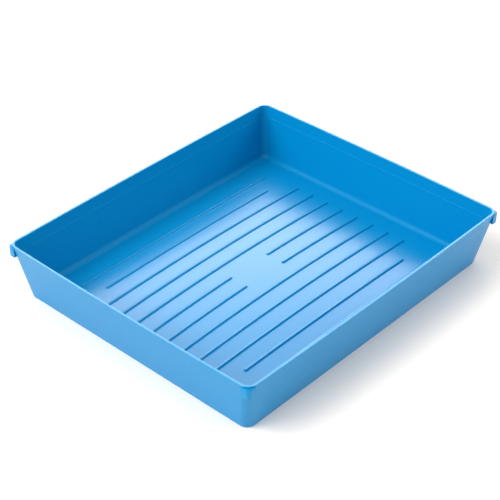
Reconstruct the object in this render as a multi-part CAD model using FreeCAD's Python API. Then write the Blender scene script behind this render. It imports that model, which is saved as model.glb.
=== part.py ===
# Mud pan: a shallow drafted tray, injection moulded in one piece, with a crowned and ribbed floor.
# Units are millimetres. +Z is up and +X runs along the longer side and along the floor ribs.
# The origin is on the surface the tray stands on, below the middle of the tray.
# The moulding is written out as regions that meet face to face: a floor panel, four walls, four
# corners, four stacking lugs and the floor ribs.
import FreeCAD, Part
import math
import os

# Driving dimensions of the moulding
rim_length = 353.0          # outer length at the rim, measured at the corners
rim_width = 300.0           # outer width at the rim, measured at the corners
height = 58.0
draft_inset = 11.0          # how far each wall's foot lies inside its rim
side_bow = 1.5              # outward bow of each side at the middle of the rim, none at the foot
rim_corner_radius = 10.0    # outside corner radius at the rim
foot_corner_radius = 9.0    # outside corner radius at the foot
rim_wall = 2.4              # wall thickness above the ledge
lower_wall = 2.9            # wall thickness below the ledge
ledge_drop = 12.0           # depth of the ledge below the rim
rim_bevel = 0.8             # bevel on both edges of the rim
inner_fillet = 5.5          # radius between the walls and the floor
corner_reach = 24.0         # each corner region reaches this far in from the square corner of the rim

# Floor panel: a thin sheet whose middle is crowned
floor_thickness = 2.4
floor_crown = 5.5           # rise of the middle of the floor
crown_length = 300.0        # the crown dies out on this rectangle, which leaves a flat foot band
crown_width = 247.0

# Floor ribs
rib_count = 12
rib_pitch = 19.6
rib_width = 3.6
rib_height = 1.4
rib_length = 280.0
outer_rib_length = 262.0    # the outermost rib on each side
second_rib_length = 228.0   # the rib beside it, which stops short
centre_gap = 50.0           # the two middle ribs are broken here, around a plain blank

# Stacking lugs, one on the outside of each corner
lug_leg = 8.5               # reach along each side from the square corner
lug_corner_radius = 4.0
lug_top_drop = 1.5          # top of the lug below the rim
lug_bottom_drop = 12.0      # underside of the lug below the rim

# Worked out from the above
ledge_level = height - ledge_drop
rim_half_length = rim_length / 2
rim_half_width = rim_width / 2
corner_sides = {
    "front_left": (-1, -1),
    "front_right": (1, -1),
    "back_right": (1, 1),
    "back_left": (-1, 1),
}
wall_sides = {
    "front": (0, -1),
    "right": (1, 0),
    "back": (0, 1),
    "left": (-1, 0),
}
beyond = 40.0               # how far cutting solids reach past the tray
tolerance = 0.01            # for telling which edges lie at a level


def turned(x, y, z, turn):
    """A point turned about the Z axis."""
    return FreeCAD.Vector(
        x * math.cos(turn) - y * math.sin(turn),
        x * math.sin(turn) + y * math.cos(turn),
        z,
    )


def outline(level, inset):
    """Closed outline of the tray at one level, moved inwards by the inset."""
    rise = level / height
    half_length = rim_half_length - draft_inset * (1 - rise) - inset
    half_width = rim_half_width - draft_inset * (1 - rise) - inset
    radius = foot_corner_radius + (rim_corner_radius - foot_corner_radius) * rise - inset
    bow = side_bow * rise
    edges = []
    for quarter in range(4):
        turn = math.radians(90 * quarter)
        along, across = (half_length, half_width) if quarter % 2 == 0 else (half_width, half_length)
        side_start = turned(along, -(across - radius), level, turn)
        side_middle = turned(along + bow, 0, level, turn)
        side_end = turned(along, across - radius, level, turn)
        arc_middle = turned(
            along - radius + radius * math.cos(math.pi / 4),
            across - radius + radius * math.sin(math.pi / 4),
            level,
            turn,
        )
        arc_end = turned(along - radius, across, level, turn)
        if bow > 0:
            edges.append(Part.Arc(side_start, side_middle, side_end).toShape())
        else:
            edges.append(Part.LineSegment(side_start, side_end).toShape())
        edges.append(Part.Arc(side_end, arc_middle, arc_end).toShape())
    return Part.Wire(edges)


def bevel_band(low, high, low_inset, high_inset):
    """Solid between two levels whose inset changes from one to the other."""
    return Part.makeLoft([outline(low, low_inset), outline(high, high_inset)], True, True)


def drafted_body(low, high, inset):
    """Solid between two levels whose sides follow the tray's draft."""
    return bevel_band(low, high, inset, inset)


def edges_at(shape, level):
    """The edges of a shape that lie in one horizontal plane."""
    return [
        edge
        for edge in shape.Edges
        if max(abs(edge.BoundBox.ZMin - level), abs(edge.BoundBox.ZMax - level)) < tolerance
    ]


def walls_ring(outer):
    """All four walls and corners in one ring, from the top of the floor to the rim."""
    bevel_start = height - rim_bevel
    ring = outer.fuse(bevel_band(bevel_start, height, 0.0, rim_bevel))
    lower_cavity = drafted_body(floor_thickness, ledge_level, lower_wall)
    lower_cavity = lower_cavity.makeFillet(inner_fillet, edges_at(lower_cavity, floor_thickness))
    ring = ring.cut(lower_cavity)
    ring = ring.cut(drafted_body(ledge_level, bevel_start, rim_wall))
    ring = ring.cut(bevel_band(bevel_start, height, rim_wall, rim_wall - rim_bevel))
    above_floor = Part.makeBox(
        rim_length + beyond,
        rim_width + beyond,
        height,
        FreeCAD.Vector(-(rim_length + beyond) / 2, -(rim_width + beyond) / 2, floor_thickness),
    )
    return ring.common(above_floor)


def corner_cutter(side_x, side_y):
    """Square block that takes one rounded corner out of the ring, with a short run of both walls."""
    side = corner_reach + beyond
    inner_x = rim_half_length - corner_reach
    inner_y = rim_half_width - corner_reach
    low_x = inner_x if side_x > 0 else -inner_x - side
    low_y = inner_y if side_y > 0 else -inner_y - side
    return Part.makeBox(side, side, 2 * height, FreeCAD.Vector(low_x, low_y, -height / 2))


def split_ring(ring):
    """The ring as eight regions: four corners and the four walls between them."""
    cutters = {name: corner_cutter(*sides) for name, sides in corner_sides.items()}
    regions = {"corner_" + name: ring.common(cutter) for name, cutter in cutters.items()}
    rest = ring
    for cutter in cutters.values():
        rest = rest.cut(cutter)
    for name, (side_x, side_y) in wall_sides.items():
        regions["wall_" + name] = max(
            rest.Solids,
            key=lambda solid: side_x * solid.CenterOfMass.x + side_y * solid.CenterOfMass.y,
        )
    return regions


def crown_face(level):
    """Crowned surface over the crown's rectangle, with all four edges flat at the level."""
    surface = Part.BezierSurface()
    surface.increase(2, 2)
    for row in range(3):
        for column in range(3):
            rise = 4 * floor_crown if (row, column) == (1, 1) else 0
            pole = FreeCAD.Vector((row - 1) * crown_length / 2, (column - 1) * crown_width / 2, level + rise)
            surface.setPole(row + 1, column + 1, pole)
    return surface.toShape()


def floor_panel(outer):
    """The crowned sheet and the flat band around it that the tray stands on."""
    sheet = crown_face(0).extrude(FreeCAD.Vector(0, 0, floor_thickness))
    slab = Part.makeBox(
        rim_length,
        rim_width,
        floor_thickness,
        FreeCAD.Vector(-rim_half_length, -rim_half_width, 0),
    )
    window = Part.makeBox(
        crown_length,
        crown_width,
        floor_thickness,
        FreeCAD.Vector(-crown_length / 2, -crown_width / 2, 0),
    )
    return outer.common(slab).cut(window).fuse(sheet)


def slot_prism(start, end, y):
    """Upright prism with round ends, which is the plan shape of one rib."""
    radius = rib_width / 2
    front_start = FreeCAD.Vector(start + radius, y - radius, 0)
    front_end = FreeCAD.Vector(end - radius, y - radius, 0)
    end_tip = FreeCAD.Vector(end, y, 0)
    back_end = FreeCAD.Vector(end - radius, y + radius, 0)
    back_start = FreeCAD.Vector(start + radius, y + radius, 0)
    start_tip = FreeCAD.Vector(start, y, 0)
    curves = [
        Part.LineSegment(front_start, front_end),
        Part.Arc(front_end, end_tip, back_end),
        Part.LineSegment(back_end, back_start),
        Part.Arc(back_start, start_tip, front_start),
    ]
    wire = Part.Wire([curve.toShape() for curve in curves])
    return Part.Face(wire).extrude(FreeCAD.Vector(0, 0, height))


def rib_spans(index):
    """Where one rib starts and ends along X. The two middle ribs are broken at the centre."""
    from_edge = min(index, rib_count - 1 - index)
    length = {0: outer_rib_length, 1: second_rib_length}.get(from_edge, rib_length)
    if from_edge == rib_count // 2 - 1:
        return [(-length / 2, -centre_gap / 2), (centre_gap / 2, length / 2)]
    return [(-length / 2, length / 2)]


def floor_ribs():
    """The ribs, which follow the crown of the floor, numbered from front to back."""
    rib_layer = crown_face(floor_thickness).extrude(FreeCAD.Vector(0, 0, rib_height))
    ribs = {}
    for index in range(rib_count):
        y = (index - (rib_count - 1) / 2) * rib_pitch
        pieces = [rib_layer.common(slot_prism(start, end, y)) for start, end in rib_spans(index)]
        ribs["floor_rib_%02d" % (index + 1)] = Part.Compound([piece.Solids[0] for piece in pieces])
    return ribs


def stacking_lug(outer, side_x, side_y):
    """Upright lug that fills the outside of one corner down to a flat underside."""
    block = Part.makeBox(
        lug_leg,
        lug_leg,
        lug_bottom_drop - lug_top_drop,
        FreeCAD.Vector(rim_half_length - lug_leg, rim_half_width - lug_leg, height - lug_bottom_drop),
    )
    upright = [
        edge
        for edge in block.Edges
        if min(edge.BoundBox.XMin - rim_half_length, edge.BoundBox.YMin - rim_half_width) > -tolerance
    ]
    block = block.makeFillet(lug_corner_radius, upright)
    if side_x < 0:
        block = block.mirror(FreeCAD.Vector(0, 0, 0), FreeCAD.Vector(1, 0, 0))
    if side_y < 0:
        block = block.mirror(FreeCAD.Vector(0, 0, 0), FreeCAD.Vector(0, 1, 0))
    return block.cut(outer)


def build():
    """Every node of the tray by name."""
    outer = drafted_body(0.0, height - rim_bevel, 0.0)
    nodes = {"floor_panel": floor_panel(outer)}
    nodes.update(split_ring(walls_ring(outer)))
    nodes.update(floor_ribs())
    for name, sides in corner_sides.items():
        nodes["stacking_lug_" + name] = stacking_lug(outer, *sides)
    return nodes


os.makedirs("parts", exist_ok=True)
for node_name, node_shape in build().items():
    node_shape.exportStep("parts/%s.step" % node_name)
    print(node_name, len(node_shape.Solids), "solids,", round(node_shape.Volume), "mm3")
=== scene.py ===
import bpy
import math
from mathutils import Matrix, Vector


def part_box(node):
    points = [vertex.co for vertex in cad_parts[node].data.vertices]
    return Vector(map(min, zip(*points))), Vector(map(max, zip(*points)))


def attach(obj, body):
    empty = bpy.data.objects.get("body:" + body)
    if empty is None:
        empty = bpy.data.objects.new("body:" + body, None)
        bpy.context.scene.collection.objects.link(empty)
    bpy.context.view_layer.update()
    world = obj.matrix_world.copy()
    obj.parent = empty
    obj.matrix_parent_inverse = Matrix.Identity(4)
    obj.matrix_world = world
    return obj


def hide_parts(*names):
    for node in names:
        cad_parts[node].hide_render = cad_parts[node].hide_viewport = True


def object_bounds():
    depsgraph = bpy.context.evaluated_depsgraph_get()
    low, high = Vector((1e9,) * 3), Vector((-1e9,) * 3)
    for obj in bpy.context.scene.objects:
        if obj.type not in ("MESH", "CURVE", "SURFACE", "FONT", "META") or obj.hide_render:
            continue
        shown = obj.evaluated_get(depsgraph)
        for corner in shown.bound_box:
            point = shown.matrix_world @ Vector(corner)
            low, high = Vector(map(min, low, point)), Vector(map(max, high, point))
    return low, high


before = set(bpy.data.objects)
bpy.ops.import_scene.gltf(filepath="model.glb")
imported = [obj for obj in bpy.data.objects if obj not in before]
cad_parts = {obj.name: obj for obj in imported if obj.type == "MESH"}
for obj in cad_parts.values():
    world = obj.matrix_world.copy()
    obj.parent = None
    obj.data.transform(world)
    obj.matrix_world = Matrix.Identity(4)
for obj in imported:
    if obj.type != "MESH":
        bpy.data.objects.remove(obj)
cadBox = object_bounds()
mm = 0.001
quarterTurn = math.pi / 2
mergeWidth = 0.002  # millimetres within which swept points are the same point
print("frame has", len(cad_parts), "nodes")


def toLinear(hexColour):
    # sRGB hex to the linear colour that a shader socket takes
    channels = [int(hexColour[start:start + 2], 16) / 255 for start in (1, 3, 5)]
    linear = [c / 12.92 if c <= 0.04045 else ((c + 0.055) / 1.055) ** 2.4 for c in channels]
    return (*linear, 1.0)


def addNode(tree, kind, inputs=None, **settings):
    # One node with its settings. Each input is a value, a socket, a node whose first output it
    # takes, or a list of nodes that all go into it.
    node = tree.nodes.new(kind)
    for name, value in settings.items():
        setattr(node, name, value)
    for key, given in (inputs or {}).items():
        for value in given if isinstance(given, list) else [given]:
            if isinstance(value, bpy.types.Node):
                value = value.outputs[0]
            if isinstance(value, bpy.types.NodeSocket):
                tree.links.new(value, node.inputs[key])
            else:
                node.inputs[key].default_value = value
    return node


def newNodeTree(name, sizes):
    # a tree with geometry in and out, and one named input for each size
    tree = bpy.data.node_groups.new(name, "GeometryNodeTree")
    tree.interface.new_socket("Geometry", in_out="OUTPUT", socket_type="NodeSocketGeometry")
    tree.interface.new_socket("Geometry", in_out="INPUT", socket_type="NodeSocketGeometry")
    for label, kind in sizes.items():
        tree.interface.new_socket(label, in_out="INPUT", socket_type="NodeSocket" + kind)
    return tree, addNode(tree, "NodeGroupInput").outputs


def endTree(tree, geometry, material):
    # every baked tree ends as real, smooth faces with their material
    real = addNode(tree, "GeometryNodeRealizeInstances", {"Geometry": geometry})
    smooth = addNode(tree, "GeometryNodeSetShadeSmooth", {"Geometry": real})
    painted = addNode(tree, "GeometryNodeSetMaterial", {"Geometry": smooth, "Material": material})
    addNode(tree, "NodeGroupOutput", {"Geometry": painted})


def bakeTree(pieceName, startMesh, tree, values):
    # runs a tree on a start mesh and keeps the result as a plain mesh at the origin
    carrier = bpy.data.objects.new(pieceName + "Carrier", startMesh)
    bpy.context.scene.collection.objects.link(carrier)
    modifier = carrier.modifiers.new(pieceName, "NODES")
    modifier.node_group = tree
    for socket in tree.interface.items_tree:
        if socket.in_out == "INPUT" and socket.name in values:
            modifier[socket.identifier] = values[socket.name]
    evaluated = carrier.evaluated_get(bpy.context.evaluated_depsgraph_get())
    mesh = bpy.data.meshes.new_from_object(evaluated)
    mesh.name = pieceName
    bpy.data.objects.remove(carrier)
    piece = bpy.data.objects.new(pieceName, mesh)
    bpy.context.scene.collection.objects.link(piece)
    print(pieceName, "has", len(mesh.polygons), "faces")
    return piece


def finishPiece(piece, nodes):
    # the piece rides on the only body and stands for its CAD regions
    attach(piece, "root")
    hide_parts(*nodes)


def roundedSection(corners):
    # A section whose corners are rounded. Each corner is a place (inset, plan radius, level), the
    # radius of its rounding and the steps in it. The plan radius changes evenly along with the rest.
    holdShare = 0.12  # a line this far past each rounding keeps the flat beside it flat
    points = []
    for number, (corner, rounding, steps) in enumerate(corners):
        corner = Vector(corner)
        if rounding == 0:
            points.append(corner)
            continue
        before = Vector(corners[number - 1][0]) - corner
        after = Vector(corners[number + 1][0]) - corner
        between = before.xz.angle(after.xz)
        run = rounding / math.tan(between / 2)
        start = before * (run / before.xz.length)
        end = after * (run / after.xz.length)
        points.append(corner + start * (1 + holdShare))
        for step in range(steps + 1):
            turn = (math.pi - between) * step / steps
            towardsEnd = (1 - math.cos(turn)) / (1 + math.cos(between))
            fromStart = (1 + math.cos(turn) * math.cos(between)) / (1 + math.cos(between))
            fromStart -= math.sin(turn) * math.tan(between / 2)
            points.append(corner + start * fromStart + end * towardsEnd)
        points.append(corner + end * (1 + holdShare))
    return points


def sectionMesh(name, points):
    # the section as loose points, in metres, for a tree to read in order
    mesh = bpy.data.meshes.new(name)
    mesh.from_pydata([point * mm for point in points], [], [])
    return mesh


def makeSweepTree():
    # Sweeps a section round a rounded rectangle. The section's points hold how far in from the
    # rectangle, the corner radius there and the level. The sides bow outwards as the level rises.
    tree, given = newNodeTree("roundedSweep", {
        "Length": "Float",
        "Width": "Float",
        "Bow": "Float",
        "Bow Start": "Float",
        "Bow End": "Float",
        "Side Steps": "Int",
        "Corner Steps": "Int",
    })
    size = addNode(tree, "GeometryNodeAttributeDomainSize", {0: given["Geometry"]})
    cornerSteps, sideSteps = given["Corner Steps"], given["Side Steps"]
    quarterSteps = addNode(tree, "FunctionNodeIntegerMath", {0: sideSteps, 1: cornerSteps}, operation="ADD")
    aroundSteps = addNode(
        tree, "FunctionNodeIntegerMath", {0: quarterSteps, 1: 4, 2: 1}, operation="MULTIPLY_ADD"
    )
    grid = addNode(tree, "GeometryNodeMeshGrid", {"Vertices X": size, "Vertices Y": aroundSteps})

    # where each point of the grid is: which section point, which quarter, and how far through it
    index = addNode(tree, "GeometryNodeInputIndex")
    row = addNode(tree, "FunctionNodeIntegerMath", {0: index, 1: aroundSteps}, operation="DIVIDE_FLOOR")
    step = addNode(tree, "FunctionNodeIntegerMath", {0: index, 1: aroundSteps}, operation="MODULO")
    quarter = addNode(tree, "FunctionNodeIntegerMath", {0: step, 1: quarterSteps}, operation="DIVIDE_FLOOR")
    within = addNode(tree, "FunctionNodeIntegerMath", {0: step, 1: quarterSteps}, operation="MODULO")
    place = addNode(tree, "GeometryNodeInputPosition")
    sample = addNode(tree, "GeometryNodeSampleIndex", {
        "Geometry": given["Geometry"],
        "Value": place,
        "Index": row,
    }, data_type="FLOAT_VECTOR")
    section = addNode(tree, "ShaderNodeSeparateXYZ", {0: sample}).outputs

    # each quarter is one corner followed by one side, turned into its place
    bent = addNode(tree, "ShaderNodeMath", {0: within, 1: cornerSteps}, operation="DIVIDE", use_clamp=True)
    angle = addNode(tree, "ShaderNodeMath", {0: bent, 1: quarterTurn}, operation="MULTIPLY")
    past = addNode(tree, "ShaderNodeMath", {0: within, 1: cornerSteps}, operation="SUBTRACT")
    travel = addNode(tree, "ShaderNodeMath", {0: past, 1: sideSteps}, operation="DIVIDE", use_clamp=True)
    along = addNode(tree, "ShaderNodeMath", {0: travel, 1: -2.0, 2: 1.0}, operation="MULTIPLY_ADD")
    cosine = addNode(tree, "ShaderNodeMath", {0: angle}, operation="COSINE")
    sine = addNode(tree, "ShaderNodeMath", {0: angle}, operation="SINE")
    turn = addNode(tree, "ShaderNodeMath", {0: quarter, 1: quarterTurn}, operation="MULTIPLY")
    facing = addNode(tree, "ShaderNodeCombineXYZ", {0: cosine, 1: sine})
    facing = addNode(
        tree, "ShaderNodeVectorRotate", {"Vector": facing, "Angle": turn}, rotation_type="Z_AXIS"
    )
    coreShare = addNode(tree, "ShaderNodeCombineXYZ", {0: along, 1: 1.0})
    coreShare = addNode(
        tree, "ShaderNodeVectorRotate", {"Vector": coreShare, "Angle": turn}, rotation_type="Z_AXIS"
    )

    # the middle of each corner's arc, then out from it by the radius and the bow
    taken = addNode(tree, "ShaderNodeMath", {0: section[0], 1: section[1]}, operation="ADD")
    coreX = addNode(tree, "ShaderNodeMath", {0: given["Length"], 1: 0.5}, operation="MULTIPLY")
    coreX = addNode(tree, "ShaderNodeMath", {0: coreX, 1: taken}, operation="SUBTRACT")
    coreY = addNode(tree, "ShaderNodeMath", {0: given["Width"], 1: 0.5}, operation="MULTIPLY")
    coreY = addNode(tree, "ShaderNodeMath", {0: coreY, 1: taken}, operation="SUBTRACT")
    core = addNode(tree, "ShaderNodeCombineXYZ", {0: coreX, 1: coreY, 2: 1.0})
    core = addNode(tree, "ShaderNodeVectorMath", {0: core, 1: coreShare}, operation="MULTIPLY")
    middle = addNode(tree, "ShaderNodeMath", {0: along, 1: along}, operation="MULTIPLY")
    middle = addNode(tree, "ShaderNodeMath", {0: 1.0, 1: middle}, operation="SUBTRACT")
    bow = addNode(tree, "ShaderNodeMapRange", {
        "Value": section[2],
        "From Min": given["Bow Start"],
        "From Max": given["Bow End"],
        "To Min": 0.0,
        "To Max": given["Bow"],
    })
    reach = addNode(tree, "ShaderNodeMath", {0: bow, 1: middle, 2: section[1]}, operation="MULTIPLY_ADD")
    outwards = addNode(
        tree, "ShaderNodeVectorMath", {"Vector": facing, "Scale": reach}, operation="SCALE"
    )
    level = addNode(tree, "ShaderNodeCombineXYZ", {2: section[2]})
    swept = addNode(tree, "ShaderNodeVectorMath", {0: core, 1: outwards}, operation="ADD")
    swept = addNode(tree, "ShaderNodeVectorMath", {0: swept, 1: level}, operation="ADD")
    moved = addNode(tree, "GeometryNodeSetPosition", {"Geometry": grid, "Position": swept})
    merged = addNode(tree, "GeometryNodeMergeByDistance", {"Geometry": moved, "Distance": mergeWidth * mm})
    addNode(tree, "NodeGroupOutput", {"Geometry": merged})
    return tree


crownInputs = {"Crown": "Float", "Crown Length": "Float", "Crown Width": "Float"}


def makeCrownTree():
    # lifts what lies on the floor by the floor's crown, which dies out softly at its rectangle
    tree, given = newNodeTree("crownLift", crownInputs)
    crownEasing = 0.08  # how softly the crown meets the flat band
    place = addNode(tree, "ShaderNodeSeparateXYZ", {0: addNode(tree, "GeometryNodeInputPosition")}).outputs
    rise = given["Crown"]
    for axis, length in (("X", "Crown Length"), ("Y", "Crown Width")):
        share = addNode(tree, "ShaderNodeMath", {0: place[axis], 1: given[length]}, operation="DIVIDE")
        square = addNode(tree, "ShaderNodeMath", {0: share, 1: share}, operation="MULTIPLY")
        arch = addNode(tree, "ShaderNodeMath", {0: square, 1: -4.0, 2: 1.0}, operation="MULTIPLY_ADD")
        soft = addNode(tree, "ShaderNodeMath", {0: arch, 1: 0.0, 2: crownEasing}, operation="SMOOTH_MAX")
        rise = addNode(tree, "ShaderNodeMath", {0: rise, 1: soft}, operation="MULTIPLY")
    offset = addNode(tree, "ShaderNodeCombineXYZ", {2: rise})
    lifted = addNode(tree, "GeometryNodeSetPosition", {"Geometry": given["Geometry"], "Offset": offset})
    addNode(tree, "NodeGroupOutput", {"Geometry": lifted})
    return tree


sweepTree = makeSweepTree()
crownTree = makeCrownTree()


def layOnCrown(tree, geometry, given):
    # lifts the geometry by the crown that the tree's own inputs give
    inputs = {"Geometry": geometry, **{name: given[name] for name in crownInputs}}
    return addNode(tree, "GeometryNodeGroup", inputs, node_tree=crownTree)


# The tray, in millimetres. The overall sizes come from the CAD, the rest is how the moulding is drawn.
lugLow, lugHigh = (Vector(corner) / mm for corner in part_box("stacking_lug_back_right"))
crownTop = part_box("floor_panel")[1][2] / mm
tray = {
    "rimLength": 2 * lugHigh.x,
    "rimWidth": 2 * lugHigh.y,
    "height": cadBox[1][2] / mm,
    "floorThickness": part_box("wall_front")[0][2] / mm,
    "draftInset": 11.0,
    "sideBow": 1.38,         # a little under the CAD's, so that the fuller rim stays inside its box
    "rimCornerRadius": 10.0,
    "footCornerRadius": 9.0,
    "rimWall": 2.4,
    "lowerWall": 2.9,
    "ledgeDrop": 12.0,
    "ledgeRounding": 0.2,
    "ledgeSteps": 3,
    "outerRimRounding": 0.45,
    "outerRimSteps": 7,
    "innerRimRounding": 0.3,
    "innerRimSteps": 5,
    "footRounding": 0.6,
    "footSteps": 4,
    "innerFillet": 5.5,
    "filletSteps": 10,
    "crownInset": 26.5,      # from the rim to the rectangle where the crown dies out
    "sideSteps": 64,
    "cornerSteps": 14,
}
crown = {  # the crown's inputs, in metres
    "Crown": (crownTop - tray["floorThickness"]) * mm,
    "Crown Length": (tray["rimLength"] - 2 * tray["crownInset"]) * mm,
    "Crown Width": (tray["rimWidth"] - 2 * tray["crownInset"]) * mm,
}


def onWall(level, depth):
    # a place on the drafted wall: how far in from the rim, its corner radius and its level
    rise = level / tray["height"]
    radius = tray["footCornerRadius"] + (tray["rimCornerRadius"] - tray["footCornerRadius"]) * rise
    return (tray["draftInset"] * (1 - rise) + depth, radius - depth, level)


def traySection():
    # from the floor's crown, up the inside, over the rim, down the outside and under the foot
    height, ledge = tray["height"], tray["height"] - tray["ledgeDrop"]
    return roundedSection([
        ((tray["crownInset"], 0, tray["floorThickness"]), 0, 0),
        (onWall(tray["floorThickness"], tray["lowerWall"]), tray["innerFillet"], tray["filletSteps"]),
        (onWall(ledge, tray["lowerWall"]), tray["ledgeRounding"], tray["ledgeSteps"]),
        (onWall(ledge, tray["rimWall"]), tray["ledgeRounding"], tray["ledgeSteps"]),
        (onWall(height, tray["rimWall"]), tray["innerRimRounding"], tray["innerRimSteps"]),
        (onWall(height, 0), tray["outerRimRounding"], tray["outerRimSteps"]),
        (onWall(0, 0), tray["footRounding"], tray["footSteps"]),
        ((tray["crownInset"], 0, 0), 0, 0),
    ])


def makeTrayTree():
    # the swept walls and foot band, closed by the floor's two faces and lifted by the crown
    tree, given = newNodeTree("moulding", {
        "Length": "Float",
        "Width": "Float",
        "Floor Level": "Float",
        "Bow": "Float",
        "Bow End": "Float",
        **crownInputs,
        "Side Steps": "Int",
        "Corner Steps": "Int",
        "Material": "Material",
    })
    walls = addNode(tree, "GeometryNodeGroup", {
        "Geometry": given["Geometry"],
        "Length": given["Length"],
        "Width": given["Width"],
        "Bow": given["Bow"],
        "Bow Start": given["Floor Level"],
        "Bow End": given["Bow End"],
        "Side Steps": given["Side Steps"],
        "Corner Steps": given["Corner Steps"],
    }, node_tree=sweepTree)
    across = addNode(tree, "FunctionNodeIntegerMath", {0: given["Side Steps"], 1: 1}, operation="ADD")
    sheet = addNode(tree, "GeometryNodeMeshGrid", {
        "Size X": given["Crown Length"],
        "Size Y": given["Crown Width"],
        "Vertices X": across,
        "Vertices Y": across,
    })
    raised = addNode(tree, "ShaderNodeCombineXYZ", {2: given["Floor Level"]})
    topFace = addNode(tree, "GeometryNodeSetPosition", {"Geometry": sheet, "Offset": raised})
    underside = addNode(tree, "GeometryNodeFlipFaces", {"Mesh": sheet})
    joined = addNode(tree, "GeometryNodeJoinGeometry", {"Geometry": [walls, topFace, underside]})
    closed = addNode(
        tree, "GeometryNodeMergeByDistance", {"Geometry": joined, "Distance": mergeWidth * mm}
    )
    endTree(tree, layOnCrown(tree, closed, given), given["Material"])
    return tree


# The moulding's finish, with lengths in millimetres
finish = {
    "blue": "#0087C1",
    "deepBlue": "#0084BE",        # where more pigment has gathered
    "paleBandBlue": "#52ADDA",      # where the skin is rubbed at the foot; at the rim it is rubbing and a painted highlight
    "ior": 1.49,
    "specularLevel": 0.33,
    "roughness": 0.26,
    "roughnessDrift": 0.015,      # how much of the roughness follows the pigment
    "rubbedRoughness": 0.16,      # what rubbing adds to the roughness
    "pigmentWidth": 3.0,          # one speck of the pigment, drawn coarser than the real grains to show
    "pigmentRange": (0.2, 0.8),   # the noise levels that are all deep blue and all blue
    "pigmentDetail": 1.0,
    "peelWidth": 7.0,             # one dimple of the orange peel
    "peelDepth": 0.012,
    "skinWidth": 3.0,             # the tool's fine texture, drawn a few times as coarse to show
    "skinDepth": 0.0018,
    "reliefDetail": 1.0,
    "paleBandHeight": 0.9,            # how far the pale band reaches from the foot and from the rim: rubbing at the foot, rubbing and painted highlight at the rim
    "paleBandWidth": 7.0,             # the size of its patches
    "paleBandDetail": 4.0,
    "paleBandRange": (0.1, 0.7),      # the noise levels that are not pale and fully pale
    "paleBandShare": 0.6,             # how far the palest patches go towards the pale band's blue
}


def mouldedPolypropylene():
    # Polypropylene, injection moulded in a semi-polished tool: a blue that is even right through, with
    # a faint mottle of pigment. The tool leaves a soft sheen over an orange peel of shallow dimples, and
    # the soft skin rubs paler and duller along the foot and the rim. At the rim the pale band is also a
    # painted highlight.
    material = bpy.data.materials.new("mouldedPolypropylene")
    material.use_nodes = True
    tree = material.node_tree
    tree.nodes.clear()
    place = addNode(tree, "ShaderNodeTexCoord").outputs["Object"]
    level = addNode(tree, "ShaderNodeSeparateXYZ", {0: place}).outputs["Z"]

    # a fine mottle of pigment, which also turns the sheen a little
    mottle = addNode(tree, "ShaderNodeTexNoise", {
        "Vector": place,
        "Scale": 1 / (finish["pigmentWidth"] * mm),
        "Detail": finish["pigmentDetail"],
    })
    mottle = addNode(tree, "ShaderNodeMapRange", {
        "Value": mottle,
        "From Min": finish["pigmentRange"][0],
        "From Max": finish["pigmentRange"][1],
    })
    colour = addNode(tree, "ShaderNodeMix", {
        "Factor": mottle,
        "A": toLinear(finish["deepBlue"]),
        "B": toLinear(finish["blue"]),
    }, data_type="RGBA")

    # rubbing at the foot, and rubbing with a painted highlight at the rim, in patches
    atFoot = addNode(tree, "ShaderNodeMapRange", {
        "Value": level,
        "From Min": finish["paleBandHeight"] * mm,
        "From Max": 0.0,
    })
    # painted highlight: the band along the rim's top is made paler, for rubbing and for the light along the
    # rim
    atRim = addNode(tree, "ShaderNodeMapRange", {
        "Value": level,
        "From Min": (tray["height"] - finish["paleBandHeight"]) * mm,
        "From Max": tray["height"] * mm,
    })
    edges = addNode(tree, "ShaderNodeMath", {0: atFoot, 1: atRim}, operation="ADD")
    patches = addNode(tree, "ShaderNodeTexNoise", {
        "Vector": place,
        "Scale": 1 / (finish["paleBandWidth"] * mm),
        "Detail": finish["paleBandDetail"],
    })
    patches = addNode(tree, "ShaderNodeMapRange", {
        "Value": patches,
        "From Min": finish["paleBandRange"][0],
        "From Max": finish["paleBandRange"][1],
    })
    paleBand = addNode(tree, "ShaderNodeMath", {0: edges, 1: patches}, operation="MULTIPLY")
    paleBand = addNode(tree, "ShaderNodeMath", {0: paleBand, 1: finish["paleBandShare"]}, operation="MULTIPLY")
    colour = addNode(tree, "ShaderNodeMix", {
        "Factor": paleBand,
        "A": colour.outputs["Result"],
        "B": toLinear(finish["paleBandBlue"]),
    }, data_type="RGBA")

    roughness = addNode(tree, "ShaderNodeMath", {
        0: mottle,
        1: finish["roughnessDrift"],
        2: finish["roughness"] - finish["roughnessDrift"] / 2,
    }, operation="MULTIPLY_ADD")
    roughness = addNode(tree, "ShaderNodeMath", {
        0: paleBand,
        1: finish["rubbedRoughness"],
        2: roughness,
    }, operation="MULTIPLY_ADD")

    # the relief: orange peel under the tool's fine texture
    relief = 0.0
    for width, depth in (("peelWidth", "peelDepth"), ("skinWidth", "skinDepth")):
        dimples = addNode(tree, "ShaderNodeTexNoise", {
            "Vector": place,
            "Scale": 1 / (finish[width] * mm),
            "Detail": finish["reliefDetail"],
        })
        relief = addNode(
            tree, "ShaderNodeMath", {0: dimples, 1: finish[depth], 2: relief}, operation="MULTIPLY_ADD"
        )
    bump = addNode(tree, "ShaderNodeBump", {"Height": relief, "Distance": mm, "Strength": 1.0})
    shader = addNode(tree, "ShaderNodeBsdfPrincipled", {
        "Base Color": colour.outputs["Result"],
        "Roughness": roughness,
        "IOR": finish["ior"],
        "Specular IOR Level": finish["specularLevel"],
        "Normal": bump,
    })
    addNode(tree, "ShaderNodeOutputMaterial", {"Surface": shader})
    print(material.name, "has", len(tree.nodes), "nodes")
    return material


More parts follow.
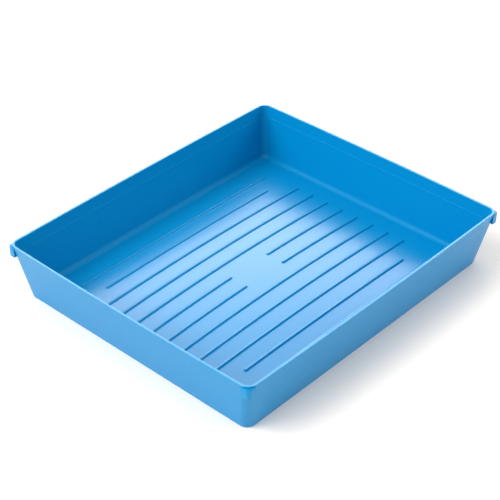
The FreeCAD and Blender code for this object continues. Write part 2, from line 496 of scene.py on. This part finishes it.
mouldingMaterial = mouldedPolypropylene()
trayShell = bakeTree("trayShell", sectionMesh("traySection", traySection()), makeTrayTree(), {
    "Length": tray["rimLength"] * mm,
    "Width": tray["rimWidth"] * mm,
    "Floor Level": tray["floorThickness"] * mm,
    "Bow": tray["sideBow"] * mm,
    "Bow End": tray["height"] * mm,
    **crown,
    "Side Steps": tray["sideSteps"],
    "Corner Steps": tray["cornerSteps"],
    "Material": mouldingMaterial,
})
trayNodes = [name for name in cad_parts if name.startswith(("floor_panel", "wall_", "corner_"))]
finishPiece(trayShell, trayNodes)

# The ribs, in millimetres
ribNames = sorted(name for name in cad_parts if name.startswith("floor_rib_"))
ribBoxes = [[Vector(corner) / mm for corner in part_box(name)] for name in ribNames]
ribs = {
    "count": len(ribNames),
    "pitch": (ribBoxes[-1][0].y - ribBoxes[0][0].y) / (len(ribNames) - 1),
    "width": ribBoxes[0][1].y - ribBoxes[0][0].y,
    "outerLength": 2 * ribBoxes[0][1].x,
    "secondLength": 2 * ribBoxes[1][1].x,
    "length": 2 * ribBoxes[2][1].x,
    "centreGap": 50.0,
    "height": 1.4,
    "topShare": 0.40,        # width of the rib's top as a share of its foot
    "topRounding": 1.25,
    "topSteps": 5,
    "toeWidth": 0.7,         # the soft toe where the rib runs into the floor
    "toeDepth": 0.02,        # how far the toe's edge dips below the floor's face
    "toeRounding": 1.0,
    "toeSteps": 4,
    "buried": 0.6,           # how far the rib goes on below the floor's face
    "alongSteps": 60,
    "endSteps": 8,
}


def ribSection():
    # from the crest outwards and down to the toe, then back under the floor's face
    floor = tray["floorThickness"]
    half = ribs["width"] / 2
    outer = half + ribs["toeWidth"]
    topHalf = half * ribs["topShare"]
    return roundedSection([
        ((outer, 0, floor + ribs["height"]), 0, 0),
        ((outer - topHalf, topHalf, floor + ribs["height"]), ribs["topRounding"], ribs["topSteps"]),
        ((outer - half, half, floor), ribs["toeRounding"], ribs["toeSteps"]),
        ((0, outer, floor - ribs["toeDepth"]), 0, 0),
        ((0, outer, floor - ribs["buried"]), 0, 0),
        ((outer, 0, floor - ribs["buried"]), 0, 0),
    ])


def makeRibTree():
    # One rib with a far too long straight run is put at every rib's place. Each rib's run is then
    # drawn in to its own length, so that the round ends keep their shape.
    tree, given = newNodeTree("ribs", {
        "Rib Count": "Int",
        "Rib Pitch": "Float",
        "Rib Width": "Float",
        "Toe Width": "Float",
        "Rib Length": "Float",
        "Outer Rib Length": "Float",
        "Second Rib Length": "Float",
        "Centre Gap": "Float",
        **crownInputs,
        "Along Steps": "Int",
        "End Steps": "Int",
        "Material": "Material",
    })
    unitRun = 1.0  # half the straight run before it is drawn in, in metres
    overToes = addNode(tree, "ShaderNodeMath", {
        0: given["Toe Width"],
        1: 2.0,
        2: given["Rib Width"],
    }, operation="MULTIPLY_ADD")
    unitLength = addNode(tree, "ShaderNodeMath", {0: overToes, 1: 2 * unitRun}, operation="ADD")
    unitRib = addNode(tree, "GeometryNodeGroup", {
        "Geometry": given["Geometry"],
        "Length": unitLength,
        "Width": overToes,
        "Side Steps": given["Along Steps"],
        "Corner Steps": given["End Steps"],
    }, node_tree=sweepTree)
    along = addNode(tree, "ShaderNodeSeparateXYZ", {0: addNode(tree, "GeometryNodeInputPosition")})
    runShare = addNode(tree, "ShaderNodeClamp", {"Value": along, "Min": -unitRun, "Max": unitRun})
    unitRib = addNode(tree, "GeometryNodeStoreNamedAttribute", {
        "Geometry": unitRib,
        "Name": "runShare",
        "Value": runShare,
    })

    # whole ribs, from front to back, without the two that the centre breaks
    lastRib = addNode(tree, "ShaderNodeMath", {0: given["Rib Count"], 1: 1.0}, operation="SUBTRACT")
    frontmost = addNode(tree, "ShaderNodeMath", {0: lastRib, 1: given["Rib Pitch"]}, operation="MULTIPLY")
    frontmost = addNode(tree, "ShaderNodeMath", {0: frontmost, 1: -0.5}, operation="MULTIPLY")
    places = addNode(tree, "GeometryNodeMeshLine", {
        "Count": given["Rib Count"],
        "Start Location": addNode(tree, "ShaderNodeCombineXYZ", {1: frontmost}),
        "Offset": addNode(tree, "ShaderNodeCombineXYZ", {1: given["Rib Pitch"]}),
    })
    index = addNode(tree, "GeometryNodeInputIndex")
    fromBack = addNode(tree, "ShaderNodeMath", {0: lastRib, 1: index}, operation="SUBTRACT")
    fromEdge = addNode(tree, "ShaderNodeMath", {0: index, 1: fromBack}, operation="MINIMUM")

    # each bound lies half way between two ribs, counted from the nearer edge
    isOuter = addNode(tree, "FunctionNodeCompare", {0: fromEdge, 1: 0.5}, operation="LESS_THAN")
    isOuterOrSecond = addNode(tree, "FunctionNodeCompare", {0: fromEdge, 1: 1.5}, operation="LESS_THAN")
    length = addNode(tree, "GeometryNodeSwitch", {
        "Switch": isOuterOrSecond,
        "False": given["Rib Length"],
        "True": given["Second Rib Length"],
    }, input_type="FLOAT")
    length = addNode(tree, "GeometryNodeSwitch", {
        "Switch": isOuter,
        "False": length,
        "True": given["Outer Rib Length"],
    }, input_type="FLOAT")
    run = addNode(tree, "ShaderNodeMath", {0: length, 1: given["Rib Width"]}, operation="SUBTRACT")
    run = addNode(tree, "ShaderNodeMath", {0: run, 1: 0.5}, operation="MULTIPLY")
    places = addNode(
        tree, "GeometryNodeStoreNamedAttribute", {"Geometry": places, "Name": "halfRun", "Value": run}
    )
    middleEdge = addNode(tree, "ShaderNodeMath", {
        0: given["Rib Count"],
        1: 0.5,
        2: -1.5,
    }, operation="MULTIPLY_ADD")
    isMiddle = addNode(tree, "FunctionNodeCompare", {0: fromEdge, 1: middleEdge}, operation="GREATER_THAN")
    places = addNode(tree, "GeometryNodeDeleteGeometry", {"Geometry": places, "Selection": isMiddle})

    # the two middle ribs, each in two pieces
    ribLength, centreGap = given["Rib Length"], given["Centre Gap"]
    apart = addNode(tree, "ShaderNodeMath", {0: ribLength, 1: centreGap}, operation="ADD")
    apart = addNode(tree, "ShaderNodeMath", {0: apart, 1: 0.5}, operation="MULTIPLY")
    short = addNode(tree, "ShaderNodeMath", {0: ribLength, 1: centreGap}, operation="SUBTRACT")
    short = addNode(tree, "ShaderNodeMath", {0: short, 1: 0.5}, operation="MULTIPLY")
    short = addNode(tree, "ShaderNodeMath", {0: short, 1: given["Rib Width"]}, operation="SUBTRACT")
    short = addNode(tree, "ShaderNodeMath", {0: short, 1: 0.5}, operation="MULTIPLY")
    broken = addNode(tree, "GeometryNodeMeshGrid", {
        "Size X": apart,
        "Size Y": given["Rib Pitch"],
        "Vertices X": 2,
        "Vertices Y": 2,
    })
    broken = addNode(
        tree, "GeometryNodeStoreNamedAttribute", {"Geometry": broken, "Name": "halfRun", "Value": short}
    )
    joined = addNode(tree, "GeometryNodeJoinGeometry", {"Geometry": [places, broken]})
    placed = addNode(tree, "GeometryNodeInstanceOnPoints", {"Points": joined, "Instance": unitRib})
    real = addNode(tree, "GeometryNodeRealizeInstances", {"Geometry": placed})
    ownRun = addNode(tree, "GeometryNodeInputNamedAttribute", {"Name": "halfRun"})
    ownShare = addNode(tree, "GeometryNodeInputNamedAttribute", {"Name": "runShare"})
    excess = addNode(tree, "ShaderNodeMath", {0: ownRun, 1: unitRun}, operation="SUBTRACT")
    shift = addNode(tree, "ShaderNodeMath", {0: excess, 1: ownShare}, operation="MULTIPLY")
    drawnIn = addNode(tree, "GeometryNodeSetPosition", {
        "Geometry": real,
        "Offset": addNode(tree, "ShaderNodeCombineXYZ", {0: shift}),
    })
    endTree(tree, layOnCrown(tree, drawnIn, given), given["Material"])
    return tree


floorRibs = bakeTree("floorRibs", sectionMesh("ribSection", ribSection()), makeRibTree(), {
    "Rib Count": ribs["count"],
    "Rib Pitch": ribs["pitch"] * mm,
    "Rib Width": ribs["width"] * mm,
    "Toe Width": ribs["toeWidth"] * mm,
    "Rib Length": ribs["length"] * mm,
    "Outer Rib Length": ribs["outerLength"] * mm,
    "Second Rib Length": ribs["secondLength"] * mm,
    "Centre Gap": ribs["centreGap"] * mm,
    **crown,
    "Along Steps": ribs["alongSteps"],
    "End Steps": ribs["endSteps"],
    "Material": mouldingMaterial,
})
finishPiece(floorRibs, ribNames)

# The stacking lugs, in millimetres
lugs = {
    "leg": lugHigh.x - lugLow.x,
    "bottom": lugLow.z,
    "top": lugHigh.z,
    "cornerRadius": 4.0,
    "bottomRounding": 0.3,
    "topRounding": 0.6,
    "buried": 1.2,           # how far the lug goes on inside the wall
    "roundingSteps": 3,
    "cornerSteps": 8,
    "sharpAngle": 40.0,      # degrees past which an edge stays sharp
}


def lugRing(inset, level):
    # one level of a lug, drawn from the square corner of the rim towards -x and -y
    leg, radius, steps = lugs["leg"] - inset, lugs["cornerRadius"], lugs["cornerSteps"]
    wallInset, wallRadius, _ = onWall(level, 0)
    centre = wallInset + wallRadius
    innerRadius = wallRadius - lugs["buried"]
    points = [Vector((-leg, -inset, level))]
    reach = radius - inset
    for step in range(steps + 1):
        angle = quarterTurn * (1 - step / steps)
        points.append(Vector((reach * math.cos(angle) - radius, reach * math.sin(angle) - radius, level)))
    points.append(Vector((-inset, -leg, level)))
    endAngle = math.acos((centre - leg) / innerRadius)
    for step in range(steps + 1):
        angle = quarterTurn - endAngle + (2 * endAngle - quarterTurn) * step / steps
        x, y = innerRadius * math.cos(angle) - centre, innerRadius * math.sin(angle) - centre
        points.append(Vector((x, y, level)))
    return points


def lugMesh():
    # levels with a rounding at the bottom and at the top, capped at both ends
    lower, upper = [], []
    for step in range(lugs["roundingSteps"] + 1):
        angle = quarterTurn * step / lugs["roundingSteps"]
        sideways, upwards = 1 - math.sin(angle), 1 - math.cos(angle)
        low, high = lugs["bottomRounding"], lugs["topRounding"]
        lower.append(lugRing(low * sideways, lugs["bottom"] + low * upwards))
        upper.append(lugRing(high * upwards, lugs["top"] - high * sideways))
    rings = lower + upper
    around = len(rings[0])
    faces = [list(range(around)), [around * (len(rings) - 1) + k for k in reversed(range(around))]]
    for ring in range(len(rings) - 1):
        for k in range(around):
            low, lowNext = ring * around + k, ring * around + (k + 1) % around
            faces.append([low, low + around, lowNext + around, lowNext])
    mesh = bpy.data.meshes.new("lug")
    mesh.from_pydata([point * mm for ring in rings for point in ring], [], faces)
    mesh.set_sharp_from_angle(angle=math.radians(lugs["sharpAngle"]))
    return mesh


def makeLugTree():
    # one lug at each corner of the rim, turned to face outwards
    tree, given = newNodeTree("lugs", {"Length": "Float", "Width": "Float", "Material": "Material"})
    corners = addNode(tree, "GeometryNodeMeshGrid", {
        "Size X": given["Length"],
        "Size Y": given["Width"],
        "Vertices X": 2,
        "Vertices Y": 2,
    })
    place = addNode(tree, "ShaderNodeSeparateXYZ", {0: addNode(tree, "GeometryNodeInputPosition")}).outputs
    signX = addNode(tree, "ShaderNodeMath", {0: place[0]}, operation="SIGN")
    signY = addNode(tree, "ShaderNodeMath", {0: place[1]}, operation="SIGN")
    angle = addNode(tree, "ShaderNodeMath", {0: signY, 1: signX}, operation="ARCTAN2")
    angle = addNode(tree, "ShaderNodeMath", {0: angle, 1: quarterTurn / 2}, operation="SUBTRACT")
    turned = addNode(tree, "ShaderNodeCombineXYZ", {2: angle})
    turned = addNode(tree, "FunctionNodeEulerToRotation", {0: turned})
    placed = addNode(tree, "GeometryNodeInstanceOnPoints", {
        "Points": corners,
        "Instance": given["Geometry"],
        "Rotation": turned,
    })
    endTree(tree, placed, given["Material"])
    return tree


stackingLugs = bakeTree("stackingLugs", lugMesh(), makeLugTree(), {
    "Length": tray["rimLength"] * mm,
    "Width": tray["rimWidth"] * mm,
    "Material": mouldingMaterial,
})
finishPiece(stackingLugs, [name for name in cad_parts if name.startswith("stacking_lug_")])

# The marks that the tool leaves on the underside, in millimetres: the cut gate in the middle and
# the rings round the ejector pins
marks = {
    "ringRadius": 4.0,
    "ringWidth": 0.6,
    "ringHeight": 0.25,
    "crestInset": 0.3,       # how far the crest stands in from each foot, as a share of the width
    "gateRadius": 2.5,
    "gateHeight": 0.7,
    "gateRounding": 0.35,
    "gateSteps": 4,
    "rootDepth": 0.4,        # how far each mark starts inside the floor
    "rows": 3,
    "rowLength": 220.0,
    "rowWidth": 168.0,
    "roundSteps": 10,
}


def ringSection():
    # down the ring's outside, across its crest, back up and closed inside the floor
    radius, width, depth = marks["ringRadius"], marks["ringWidth"], marks["rootDepth"]
    crest = width * marks["crestInset"]
    profile = [
        (0, depth),
        (0, 0),
        (crest, -marks["ringHeight"]),
        (width - crest, -marks["ringHeight"]),
        (width, 0),
        (width, depth),
        (0, depth),
    ]
    return [Vector((inset, radius - inset, level)) for inset, level in profile]


def gateSection():
    # out from the stub's middle inside the floor, down its side, round its edge and back in
    radius, level = marks["gateRadius"], -marks["gateHeight"]
    return roundedSection([
        ((radius, 0, marks["rootDepth"]), 0, 0),
        ((0, radius, marks["rootDepth"]), 0, 0),
        ((0, radius, level), marks["gateRounding"], marks["gateSteps"]),
        ((radius, 0, level), 0, 0),
    ])


def makeMarksTree():
    # a ring at each ejector pin and the gate's stub in the middle, laid on the crown's underside
    tree, given = newNodeTree("mouldMarks", {
        "Ring": "Object",
        "Ring Width": "Float",
        "Gate Width": "Float",
        "Rows": "Int",
        "Row Length": "Float",
        "Row Width": "Float",
        "Round Steps": "Int",
        **crownInputs,
        "Material": "Material",
    })
    ringPoints = addNode(tree, "GeometryNodeObjectInfo", {"Object": given["Ring"]}).outputs["Geometry"]
    ring, gate = [
        addNode(tree, "GeometryNodeGroup", {
            "Geometry": points,
            "Length": width,
            "Width": width,
            "Side Steps": 1,
            "Corner Steps": given["Round Steps"],
        }, node_tree=sweepTree)
        for points, width in (
            (ringPoints, given["Ring Width"]),
            (given["Geometry"], given["Gate Width"]),
        )
    ]
    pins = addNode(tree, "GeometryNodeMeshGrid", {
        "Size X": given["Row Length"],
        "Size Y": given["Row Width"],
        "Vertices X": given["Rows"],
        "Vertices Y": given["Rows"],
    })
    rings = addNode(tree, "GeometryNodeInstanceOnPoints", {"Points": pins, "Instance": ring})
    rings = addNode(tree, "GeometryNodeRealizeInstances", {"Geometry": rings})
    joined = addNode(tree, "GeometryNodeJoinGeometry", {"Geometry": [rings, gate]})
    endTree(tree, layOnCrown(tree, joined, given), given["Material"])
    return tree


ringPoints = bpy.data.objects.new("ringPoints", sectionMesh("ringSection", ringSection()))
mouldMarks = bakeTree("mouldMarks", sectionMesh("gateSection", gateSection()), makeMarksTree(), {
    "Ring": ringPoints,
    "Ring Width": 2 * marks["ringRadius"] * mm,
    "Gate Width": 2 * marks["gateRadius"] * mm,
    "Rows": marks["rows"],
    "Row Length": marks["rowLength"] * mm,
    "Row Width": marks["rowWidth"] * mm,
    "Round Steps": marks["roundSteps"],
    **crown,
    "Material": mouldingMaterial,
})
bpy.data.objects.remove(ringPoints)
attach(mouldMarks, "root")

# The studio, in metres
studio = {
    "groundSize": 40.0,
    "groundWhite": "#FBF5EE",
    "groundRoughness": 0.9,
    "worldWhite": "#FFFFFF",
    "worldStrength": 0.93,
    "shadeSide": (-0.75, -0.66, 0.0),
    "shadeShare": 0.5,        # how much of the world's light is kept off on that side
    "worldGloss": 0.12,       # the share of the world's light that shows in reflections
    "camera": (-0.8504, -0.7575, 0.8503),
    "cameraHeading": 47.96,   # degrees clockwise from +Y
    "cameraTilt": 35.72,      # degrees below the horizon
    "cameraRoll": -0.50,      # degrees
    "lens": 106.9,            # millimetres
}


def makeGround():
    # a sheet of matt white paper under the tray, which takes soft shadows and shows no sheen
    half = studio["groundSize"] / 2
    mesh = bpy.data.meshes.new("ground")
    corners = [(-half, -half, 0), (half, -half, 0), (half, half, 0), (-half, half, 0)]
    mesh.from_pydata(corners, [], [(0, 1, 2, 3)])
    ground = bpy.data.objects.new("ground", mesh)
    bpy.context.scene.collection.objects.link(ground)
    material = bpy.data.materials.new("whitePaperSweep")
    material.use_nodes = True
    shader = material.node_tree.nodes["Principled BSDF"]
    shader.inputs["Base Color"].default_value = toLinear(studio["groundWhite"])
    shader.inputs["Roughness"].default_value = studio["groundRoughness"]
    mesh.materials.append(material)


def makeCamera():
    # above the front left corner, looking down at the tray
    data = bpy.data.cameras.new("camera")
    data.lens = studio["lens"]
    camera = bpy.data.objects.new("camera", data)
    bpy.context.scene.collection.objects.link(camera)
    bpy.context.scene.camera = camera
    turn = Matrix.Rotation(-math.radians(studio["cameraHeading"]), 4, "Z")
    tilt = Matrix.Rotation(quarterTurn - math.radians(studio["cameraTilt"]), 4, "X")
    roll = Matrix.Rotation(-math.radians(studio["cameraRoll"]), 4, "Z")
    camera.matrix_world = Matrix.Translation(studio["camera"]) @ turn @ tilt @ roll


# The lamps, in metres and watts. Each one either lights the tray or shows in its sheen.
lamps = {
    "key": {"place": (-2.7, 1.9, 3.4), "size": (3.0, 3.0), "watts": 165.0, "reflects": False},
    "left": {"place": (-3.7, 0.5, 2.2), "size": (2.0, 2.0), "watts": 40.0, "reflects": False},
    "front": {"place": (2.5, -2.7, 1.4), "size": (1.7, 1.7), "watts": 40.0, "reflects": False},
    "backCard": {"place": (1.6, 1.5, 1.25), "size": (2.0, 1.6), "watts": 79.0, "reflects": True},
}


def makeLamps():
    # soft boxes and a card, all turned towards the tray
    for name, lamp in lamps.items():
        data = bpy.data.lights.new(name, "AREA")
        data.shape = "RECTANGLE"
        data.size, data.size_y = lamp["size"]
        data.energy = lamp["watts"]
        light = bpy.data.objects.new(name, data)
        light.visible_diffuse = not lamp["reflects"]
        light.visible_glossy = lamp["reflects"]
        bpy.context.scene.collection.objects.link(light)
        place = Vector(lamp["place"])
        turn = place.to_track_quat("Z", "Y").to_matrix().to_4x4()
        light.matrix_world = Matrix.Translation(place) @ turn


def makeWorld():
    # white all round, dimmer on the shaded side and in reflections
    world = bpy.data.worlds.new("studioWorld")
    world.use_nodes = True
    tree = world.node_tree
    background = tree.nodes["Background"]
    background.inputs["Color"].default_value = toLinear(studio["worldWhite"])
    towards = addNode(tree, "ShaderNodeTexCoord").outputs["Generated"]
    share = addNode(tree, "ShaderNodeVectorMath", {
        0: towards,
        1: studio["shadeSide"],
    }, operation="DOT_PRODUCT")
    share = addNode(tree, "ShaderNodeMapRange", {
        "Value": share.outputs["Value"],
        "To Min": studio["worldStrength"],
        "To Max": studio["worldStrength"] * (1 - studio["shadeShare"]),
    })
    gloss = addNode(tree, "ShaderNodeMapRange", {
        "Value": addNode(tree, "ShaderNodeLightPath").outputs["Is Glossy Ray"],
        "To Min": 1.0,
        "To Max": studio["worldGloss"],
    })
    strength = addNode(tree, "ShaderNodeMath", {0: share, 1: gloss}, operation="MULTIPLY")
    tree.links.new(strength.outputs[0], background.inputs["Strength"])
    bpy.context.scene.world = world


makeGround()
makeCamera()
makeLamps()
makeWorld()
bpy.context.scene.view_settings.view_transform = "Standard"
print("studio has", len(lamps), "lamps")
